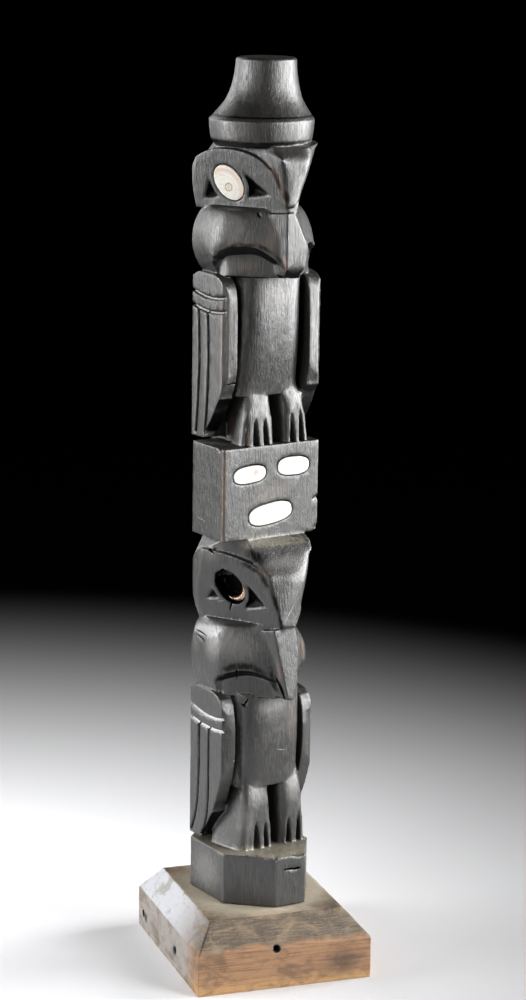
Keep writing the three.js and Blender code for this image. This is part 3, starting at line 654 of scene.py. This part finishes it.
    # Metal with this near black colour reflects no light: the painted shade and the socket's inside lose
    # their shine too.
    in_socket = mask(tree, from_socket, 1.15, 1.0, 0.9)
    lightless = add(tree, "ShaderNodeMath", {0: in_socket, 1: glue}, operation="SUBTRACT")
    lightless = add(tree, "ShaderNodeMath", {0: lightless, 1: black}, operation="MAXIMUM")
    raised = add(tree, "ShaderNodeMath", {0: pores, 1: 0.6, 2: grain}, operation="MULTIPLY_ADD")
    bump = add(tree, "ShaderNodeBump", {"Strength": 0.7, "Distance": sizes.grain * MM, "Height": raised})
    tree.links.new(skin, shader.inputs["Base Color"])
    tree.links.new(gloss.outputs[0], shader.inputs["Roughness"])
    tree.links.new(lightless.outputs[0], shader.inputs["Metallic"])
    tree.links.new(bump.outputs[0], shader.inputs["Normal"])
    return material


def weathered_wood():
    """Softwood left bare, its grain raised and level: tan where cut, grey where dust and damp took it, with a
    painted glare on its left slope.
    """
    material, tree, shader = new_material("weathered_bare_wood", 1.48)
    place = placed(tree, Matrix.Scale(MM, 4))
    normal = add(tree, "ShaderNodeNewGeometry").outputs["Normal"]
    facing = add(tree, "ShaderNodeSeparateXYZ", {0: normal})
    spot = add(tree, "ShaderNodeSeparateXYZ", {0: place})
    relief = add(tree, "ShaderNodeAttribute", attribute_name="relief").outputs["Fac"]
    nails = [Matrix.Translation(Vector(hole) * MM) @ Matrix.Scale(1.9 * MM, 4) for hole in NAIL_HOLES]
    nails += [Matrix.Translation(Vector(hole) * 0.9 * MM) @ Matrix.Scale(4.5 * MM, 4) for hole in NAIL_HOLES]

    grain = streaks(tree, place, (26, 16, 0.9), detail=5, distortion=0.3)
    fibres = streaks(tree, place, (9, 6, 0.35), detail=3)
    stain = streaks(tree, place, (13, 13, 8), detail=4, distortion=0.8)
    cloud = streaks(tree, place, (5, 5, 4), detail=5, roughness=0.65)
    grit = streaks(tree, place, (0.9, 0.9, 0.9), detail=4, roughness=0.7)

    knot = Matrix.LocRotScale(Vector(KNOT["middle"]) * MM, None, Vector(KNOT["halves"]) * MM)
    tan = coated(tree, colour("#987354"), [
        (mask(tree, grain, 0.46, 0.7), colour("#735237")),
        (mask(tree, spot.outputs[2], 7, 1, 0.8, cloud, 8), colour("#b28b5c")),
        (mask(tree, stain, 0.44, 0.72, 0.7, cloud, 0.4), colour("#5f4c3c")),
        (mask(tree, fibres, 0.5, 0.7, 0.45), colour("#64462e")),
        (mask(tree, nearest(tree, [knot]), 1.6, 0.1, 0.75, cloud, 1.6), colour("#3f332a")),
        (mask(tree, grit, 0.6, 0.75, 0.5), colour("#c79f6d")),
    ])
    grey = coated(tree, colour("#594d40"), [
        (mask(tree, cloud, 0.42, 0.7, 0.8), colour("#40372f")),
        (mask(tree, stain, 0.48, 0.72, 0.8), colour("#8f7a62")),
        (mask(tree, fibres, 0.48, 0.62, 0.4), colour("#8c7a62")),
        (mask(tree, fibres, 0.46, 0.34, 0.4), colour("#43382e")),
        (mask(tree, grit, 0.55, 0.75, 0.6), colour("#a1987f")),
    ])
    upward = mask(tree, facing.outputs[2], 0.3, 0.5, 1.0)
    slope_edge = mask(tree, spot.outputs[2], 18.6, 21.4, 1.0, stain, 7)
    upward = add(tree, "ShaderNodeMath", {0: upward, 1: slope_edge}, operation="MULTIPLY")
    behind_front = mask(tree, spot.outputs[1], -44, -22, 0.95)
    leftward = mask(tree, facing.outputs[0], -0.25, -0.6, behind_front, cloud, 0.7)
    # Painted highlight: the left light's glare on the base's left slope, painted near white.
    glare = mask(tree, facing.outputs[2], 0.3, 0.5, mask(tree, spot.outputs[1], -34, 4), cloud, 0.3)
    away = from_middle(tree, place, (1, 1, 0))
    flat = mask(tree, facing.outputs[2], 0.85, 0.97)
    clean = mask(tree, away, 43, 28, 0.8, cloud, 8)
    clean = add(tree, "ShaderNodeMath", {0: clean, 1: flat}, operation="MULTIPLY")
    mitres = []
    for hand in (-1, 1):
        foot, crown = (Vector((hand * x, y, z)) for x, y, z in (MITRE["foot"], MITRE["crown"]))
        turn = (crown - foot).to_track_quat("X", "Z")
        mitres.append(Matrix.LocRotScale((foot + crown) / 2 * MM, turn, Vector(MITRE["halves"]) * MM))
    skin = coated(tree, tan, [
        (upward, grey),
        (leftward, coated(tree, colour("#908b87"), [
            (mask(tree, stain, 0.42, 0.7, 0.9, cloud, 0.4), colour("#6b5d4e")),
            (glare, coated(tree, colour("#c0c2c7"), [
                (mask(tree, stain, 0.5, 0.66, 0.7, cloud, 0.6), colour("#8e8980")),
            ])),
            (mask(tree, grit, 0.62, 0.74, 0.8), colour("#433a33")),
        ])),
        (clean, coated(tree, colour("#bdb29e"), [(mask(tree, grit, 0.5, 0.7, 0.6), colour("#8f8371"))])),
        (mask(tree, relief, 0.15, 0.45, 0.6, cloud, 0.5), colour("#c4a67c")),
        (mask(tree, nearest(tree, mitres), 1.2, 0.5, 0.8, cloud, 1.2), colour("#2c2018")),
        # Painted shade: near black in the hollows of the wood.
        (mask(tree, relief, -0.1, -0.5, 0.95), colour("#120d0a")),
        (mask(tree, fibres, 0.62, 0.75, 0.4), colour("#4a3a2c")),
        # Painted shade: near black inside the nail holes.
        (mask(tree, nearest(tree, nails), 1.1, 0.9, 1.0, cloud, 0.3), colour("#0c0806")),
    ])
    raised = add(tree, "ShaderNodeMath", {0: fibres, 1: 0.7, 2: grain}, operation="MULTIPLY_ADD")
    bump = add(tree, "ShaderNodeBump", {"Strength": 0.7, "Distance": 0.25 * MM, "Height": raised})
    gloss = add(tree, "ShaderNodeMath", {0: mask(tree, stain, 0.3, 0.7, 0.2), 1: 0.5}, operation="ADD")
    tree.links.new(skin, shader.inputs["Base Color"])
    tree.links.new(gloss.outputs[0], shader.inputs["Roughness"])
    tree.links.new(bump.outputs[0], shader.inputs["Normal"])
    return material


def shell(name, ground="#d0cec9", marks=()):
    """Polished white shell: clouded in bands, with a soft shine.

    Each mark is a ring or a spot: its place, how far out it lies, its half width, colour and strength.
    """
    material, tree, shader = new_material(name, 1.55)
    place = placed(tree, Matrix.Scale(MM, 4))
    cloud = streaks(tree, place, (4, 4, 3), detail=3, distortion=1.2)
    bands = streaks(tree, place, (9, 9, 0.9), detail=2, distortion=0.5)
    skin = coated(tree, colour(ground), [
        (mask(tree, cloud, 0.45, 0.7, 0.5), colour("#dddcdb")),
        (mask(tree, bands, 0.5, 0.72, 0.4), colour("#cabda5")),
        (mask(tree, cloud, 0.42, 0.25, 0.5), colour("#c5c9bf")),
    ])
    for spot, radius, half, tint, strength in marks:
        away = add(tree, "ShaderNodeMath", {0: nearest(tree, [spot]), 1: radius}, operation="SUBTRACT")
        away = add(tree, "ShaderNodeMath", {0: away}, operation="ABSOLUTE")
        skin = coated(tree, skin, [(mask(tree, away, half, 0, strength, cloud, half), colour(tint))])
    bump = add(tree, "ShaderNodeBump", {"Strength": 0.4, "Distance": 0.06 * MM, "Height": bands})
    tree.links.new(skin, shader.inputs["Base Color"])
    tree.links.new(bump.outputs[0], shader.inputs["Normal"])
    shader.inputs["Roughness"].default_value = 0.26
    return material


def studio_paper():
    """Seamless pale paper without shine, painted dark away from the part as one small lamp's pool of light.
    """
    material, tree, shader = new_material("studio_paper", 1.45)
    place = placed(tree, Matrix.Translation(PAPER["lit"]) @ Matrix.Scale(MM, 4))
    away = add(tree, "ShaderNodeVectorMath", {0: place}, operation="LENGTH").outputs["Value"]
    inputs = {"Value": away, "From Min": PAPER["dark"], "From Max": PAPER["pale"]}
    lit = add(tree, "ShaderNodeMapRange", inputs)
    lit = add(tree, "ShaderNodeMath", {0: lit, 1: 2.0}, operation="POWER")
    skin = coated(tree, colour("#010101"), [
        (lit, coated(tree, colour("#efeff1"), [
            (mask(tree, streaks(tree, place, (400, 400, 400)), 0.3, 0.7), colour("#ececee")),
        ])),
    ])
    tree.links.new(skin, shader.inputs["Base Color"])
    shader.inputs["Roughness"].default_value = 0.95
    shader.inputs["Specular IOR Level"].default_value = 0.0
    return material


# ---------------------------------------------------------------- settings


class TotemStage(bpy.types.PropertyGroup):
    distance: FloatProperty(
        name="Camera distance", description="Across the floor, from the base", default=1.1586,
        unit="LENGTH")
    height: FloatProperty(
        name="Camera height", description="Above the floor", default=0.4653, unit="LENGTH")
    lens: FloatProperty(name="Lens", description="Focal length in millimetres", default=97.84)
    paper: FloatProperty(
        name="Paper radius", description="Of the round floor before it turns up", default=2.4, unit="LENGTH")


class TotemPole(bpy.types.PropertyGroup):
    voxel: FloatProperty(
        name="Fineness", description="Size of the smallest carved detail", default=0.4 * MM, unit="LENGTH")
    rounds: IntProperty(name="Rounding", description="How far facets are smoothed away", default=300)
    crisp: FloatProperty(
        name="Edge wear", description="How much of that smoothing the edges get", default=0.015,
        subtype="FACTOR")
    sway: FloatProperty(
        name="Unevenness", description="Depth of the knife's hollows in millimetres", default=0.2)
    grain: FloatProperty(name="Grain depth", description="In millimetres", default=0.2)
    gloss: FloatProperty(
        name="Roughness", description="Of the stain's shine", default=0.4, subtype="FACTOR")


class TotemBase(bpy.types.PropertyGroup):
    voxel: FloatProperty(
        name="Fineness", description="Size of the smallest detail", default=0.5 * MM, unit="LENGTH")
    rounds: IntProperty(name="Rounding", description="How far the edges are worn", default=24)


class TotemShell(bpy.types.PropertyGroup):
    voxel: FloatProperty(
        name="Fineness", description="Size of the smallest detail", default=0.2 * MM, unit="LENGTH")
    rounds: IntProperty(name="Rounding", description="How far the edges are polished", default=6)


# ---------------------------------------------------------------- operators


class TOTEM_OT_stage(bpy.types.Operator):
    """Lay the pale paper floor, and set the camera and the soft lights"""
    bl_idname = "totem.lay_stage"
    bl_label = "Stage"

    def execute(self, context):
        sizes = context.scene.totem_stage
        self.lay_paper(sizes)
        self.set_lights(context.scene)
        self.set_camera(context.scene, sizes)
        return {"FINISHED"}

    def lay_paper(self, sizes):
        rise = PAPER["rise"]
        shape = bmesh.new()
        line = [shape.verts.new((0.001, 0, 0)), shape.verts.new((sizes.paper, 0, 0))]
        for i in range(1, 9):
            angle = i * pi / 16
            line.append(shape.verts.new((sizes.paper + rise * sin(angle), 0, rise * (1 - cos(angle)))))
        edges = [shape.edges.new(pair) for pair in zip(line, line[1:])]
        bmesh.ops.spin(
            shape, geom=line + edges, cent=(0, 0, 0), axis=(0, 0, 1), dvec=(0, 0, 0), angle=2 * pi,
            steps=96, use_merge=True, use_duplicate=False)
        bmesh.ops.remove_doubles(shape, verts=shape.verts, dist=MM)
        bmesh.ops.holes_fill(shape, edges=shape.edges, sides=96)
        bmesh.ops.recalc_face_normals(shape, faces=shape.faces)
        mesh = bpy.data.meshes.new("paper_floor")
        shape.to_mesh(mesh)
        shape.free()
        mesh.shade_smooth()
        mesh.materials.append(studio_paper())
        floor = bpy.data.objects.new("paper_floor", mesh)
        bpy.context.scene.collection.objects.link(floor)

    def set_lights(self, scene):
        world = bpy.data.worlds.new("studio")
        world.use_nodes = True
        world.node_tree.nodes["Background"].inputs["Color"].default_value = colour("#d8dadd")
        world.node_tree.nodes["Background"].inputs["Strength"].default_value = 0.01
        scene.world = world
        for name, (azimuth, rise, away, across, up, power) in LIGHTS.items():
            lamp = bpy.data.lights.new(name, "AREA")
            lamp.shape = "RECTANGLE"
            lamp.size, lamp.size_y = across, up
            lamp.energy = power
            light = bpy.data.objects.new(name, lamp)
            turn = Matrix.Rotation(radians(azimuth), 4, "Z") @ Matrix.Rotation(radians(-rise), 4, "X")
            middle = Vector((0, 0, LIT_HEIGHT))
            light.location = middle + turn @ Vector((0, -away, 0))
            light.rotation_euler = (middle - light.location).to_track_quat("-Z", "Y").to_euler()
            scene.collection.objects.link(light)
        scene.view_settings.view_transform = "Standard"

    def set_camera(self, scene, sizes):
        pitch = CAMERA["pitch"]
        turn = Matrix.Rotation(-CAMERA["azimuth"], 4, "Z")
        camera = bpy.data.objects.new("camera", bpy.data.cameras.new("camera"))
        camera.data.lens = sizes.lens
        camera.location = turn @ Vector((CAMERA["side_step"], -sizes.distance, sizes.height))
        aim = turn @ Vector((0, cos(pitch), -sin(pitch)))
        camera.rotation_mode = "QUATERNION"
        camera.rotation_quaternion = aim.to_track_quat("-Z", "Y") @ Quaternion((0, 0, 1), CAMERA["roll"])
        scene.collection.objects.link(camera)
        scene.camera = camera


class TOTEM_OT_base(bpy.types.Operator):
    """Wear the base's edges and weather its wood"""
    bl_idname = "totem.carve_base"
    bl_label = "Base"

    def execute(self, context):
        sizes = context.scene.totem_base
        piece = merged_copy("base")
        edges = crisp_edges(piece)
        modified(piece, "REMESH", mode="VOXEL", voxel_size=sizes.voxel)
        measure_relief(piece, "relief", EDGE_RELIEF)
        soften(piece, edges, BASE_CRISP, sizes.rounds)
        sway(piece, *BASE_SWAY)
        thin(piece, "base")
        finish(piece, "base", weathered_wood())
        return {"FINISHED"}


class TOTEM_OT_pole(bpy.types.Operator):
    """Round over the pole's facets, cut its finer work and stain it"""
    bl_idname = "totem.carve_pole"
    bl_label = "Pole"

    def execute(self, context):
        sizes = context.scene.totem_pole
        piece = merged_copy("pole")
        edges = crisp_edges(piece, BLENDED)
        modified(piece, "REMESH", mode="VOXEL", voxel_size=sizes.voxel)
        measure_relief(piece, "relief", EDGE_RELIEF)
        measure_relief(piece, "hollow", FORM_RELIEF)
        soften(piece, edges, sizes.crisp, sizes.rounds)
        for size, share in POLE_SWAYS:
            sway(piece, size, sizes.sway * share)
        self.cut_lines(piece.data)
        self.break_wood(piece.data)
        self.mark_eye_corners(piece.data)
        self.mark_patches(piece.data)
        thin(piece, "pole")
        finish(piece, "pole", blackened_wood(sizes))
        return {"FINISHED"}

    def cut_lines(self, mesh):
        """Cuts the bands and feather lines into the outer faces of the wings."""
        measures = carvers_measures(read(mesh.vertices, "co", 3))
        on_wing = (np.abs(measures[:, 0]) > WING_FACE) & (measures[:, 1] < WING_FRONT)
        depths = np.zeros(len(measures))
        for line in WING_LINES:
            away = distance_to_line(line, measures) / LINE_CUT["half"]
            cut = LINE_CUT["depth"] * np.clip(1 - away ** 2, 0, 1)
            if "ends" in line:
                low, high = line["ends"]
                cut[(measures[:, 2] < low) | (measures[:, 2] > high)] = 0
            depths = np.maximum(depths, cut)
        press_in(mesh, depths * on_wing)

    def mark_eye_corners(self, mesh):
        """Keeps how deep the eyes' corners are cut below their panels, in millimetres, for the painted shade
        in them.
        """
        measures = carvers_measures(read(mesh.vertices, "co", 3))
        measures[:, 0] = -np.abs(measures[:, 0])
        depths = np.zeros(len(measures))
        (start, end), (low, high) = EYE_CORNERS["along"], EYE_CORNERS["up"]
        for eye in (UPPER_EYE, LOWER_EYE):
            opened, close = np.array(eye["open"]), np.array(eye["close"])
            along = (close - opened) / np.linalg.norm(close - opened)
            from_end = measures[:, :2] - opened
            reach = from_end @ along
            height = measures[:, 2] - eye["foot"]
            below = from_end @ np.array((along[1], -along[0])) + height * sin(eye["lean"])
            in_panel = (reach > start) & (reach < end) & (height > low) & (height < high)
            in_panel &= below < EYE_CORNERS["deepest"]
            depths += in_panel * np.clip(below, 0, EYE_CORNERS["most"])
        keep(mesh, "cut", depths)

    def mark_patches(self, mesh):
        """Keeps how far each vertex is from the nearest soft patch of each kind, 1 at its outline."""
        points = read(mesh.vertices, "co", 3)
        for name, patches in SOFT_PATCHES.items():
            away = [np.linalg.norm(measured_in(patch_place(patch), points), axis=1) for patch in patches]
            keep(mesh, name, np.clip(np.min(away, 0), 0, FAR_PATCH))

    def break_wood(self, mesh):
        """Opens the cracks, breaks the chips off, and deepens the emptied socket."""
        points = read(mesh.vertices, "co", 3)
        depths = np.zeros(len(points))
        for patches, depth, spread in ((CRACKS, 0.45, 0.45), (CHIPS, 0.8, 0.7)):
            for patch in patches:
                away = np.linalg.norm(measured_in(patch_place(patch), points) * (1, 0.6, spread), axis=1)
                depths += depth * np.clip(1 - away ** 2, 0, 1)
        along, up, out = measured_in(eye_place(LOWER_EYE), points).T
        across = np.hypot(along, up)
        ragged = 1.08 + 0.1 * np.sin(9 * np.arctan2(up, along))
        torn = smoothstep(0.2, 0.7, along) * np.clip(ragged - across, 0, 0.3) * 4 * (across > 0.9)
        from_hollow = np.hypot(along - SOCKET["cut"][0], up - SOCKET["cut"][1])
        on_floor = (across < 0.97) * (out < SOCKET["floor"])
        whole = SOCKET["sunk"] + SOCKET["crescent"]
        sunk = on_floor * (SOCKET["sunk"] - whole * smoothstep(0.98, 1.12, from_hollow))
        press_in(mesh, depths + (np.abs(out) < 6) * (torn + sunk))


class TOTEM_OT_shell(bpy.types.Operator):
    """Polish the shell pieces of the eyes and of the box's face"""
    bl_idname = "totem.set_shell"
    bl_label = "Shell"

    def execute(self, context):
        sizes = context.scene.totem_shell
        plain = shell("polished_shell")
        eye = eye_place(UPPER_EYE)
        ring = eye @ Matrix.Translation((-0.17, 0.21, 0)) @ Matrix.Diagonal((0.19, 0.27, 3, 1))
        growth = eye @ Matrix.Translation((-0.08, 0.66, 0)) @ Matrix.Diagonal((0.78, 1.1, 9, 1))
        ringed = shell("ringed_shell", "#f3efe6", [
            (growth, 1.3, 0.26, "#d8b294", 0.55),
            (growth, 0.92, 0.05, "#c3a98b", 0.3),
            (ring, 1, 0.3, "#a08350", 0.8),
            (ring, 0.3, 0.4, "#c9b48a", 0.6),
        ])
        stain = Matrix.LocRotScale(in_frame(-8.4, 9.6, 223.6), None, Vector((2.2, 3, 2.8)) * MM)
        stained = shell("stained_shell", marks=[(stain, 0, 1.1, "#a88675", 0.75)])
        tint = Matrix.LocRotScale(in_frame(16.4, 9.6, 226.6), None, Vector((1.8, 3, 1.4)) * MM)
        tinted = shell("tinted_shell", marks=[(tint, 0, 1.2, "#d9c79a", 0.6)])
        looks = {"upper_bird_right_eye": ringed, "box_right_eye": stained, "box_left_eye": tinted}
        for node in sorted(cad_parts):
            if node in ("base", "pole"):
                continue
            piece = merged_copy(node)
            modified(piece, "REMESH", mode="VOXEL", voxel_size=sizes.voxel)
            modified(piece, "SMOOTH", factor=0.5, iterations=sizes.rounds)
            sway(piece, *SHELL_SWAY)
            thin(piece, "shell")
            finish(piece, node, looks.get(node, plain))
        return {"FINISHED"}


class TOTEM_PT_panel(bpy.types.Panel):
    """The steps that finish the totem pole"""
    bl_label = "Totem pole"
    bl_space_type = "VIEW_3D"
    bl_region_type = "UI"
    bl_category = "Totem"

    def draw(self, context):
        for step, _, settings in STEPS:
            box = self.layout.box()
            box.operator(step.bl_idname)
            group = getattr(context.scene, settings)
            for name in group.__annotations__:
                box.prop(group, name)


STEPS = (
    (TOTEM_OT_stage, TotemStage, "totem_stage"),
    (TOTEM_OT_base, TotemBase, "totem_base"),
    (TOTEM_OT_pole, TotemPole, "totem_pole"),
    (TOTEM_OT_shell, TotemShell, "totem_shell"),
)


def register():
    for operator, group, settings in STEPS:
        bpy.utils.register_class(group)
        bpy.utils.register_class(operator)
        setattr(bpy.types.Scene, settings, PointerProperty(type=group))
    bpy.utils.register_class(TOTEM_PT_panel)


def unregister():
    bpy.utils.unregister_class(TOTEM_PT_panel)
    for operator, group, settings in reversed(STEPS):
        delattr(bpy.types.Scene, settings)
        bpy.utils.unregister_class(operator)
        bpy.utils.unregister_class(group)


def main():
    register()
    bpy.ops.totem.lay_stage()
    bpy.ops.totem.carve_base()
    bpy.ops.totem.carve_pole()
    bpy.ops.totem.set_shell()


if __name__ == "__main__":
    main()
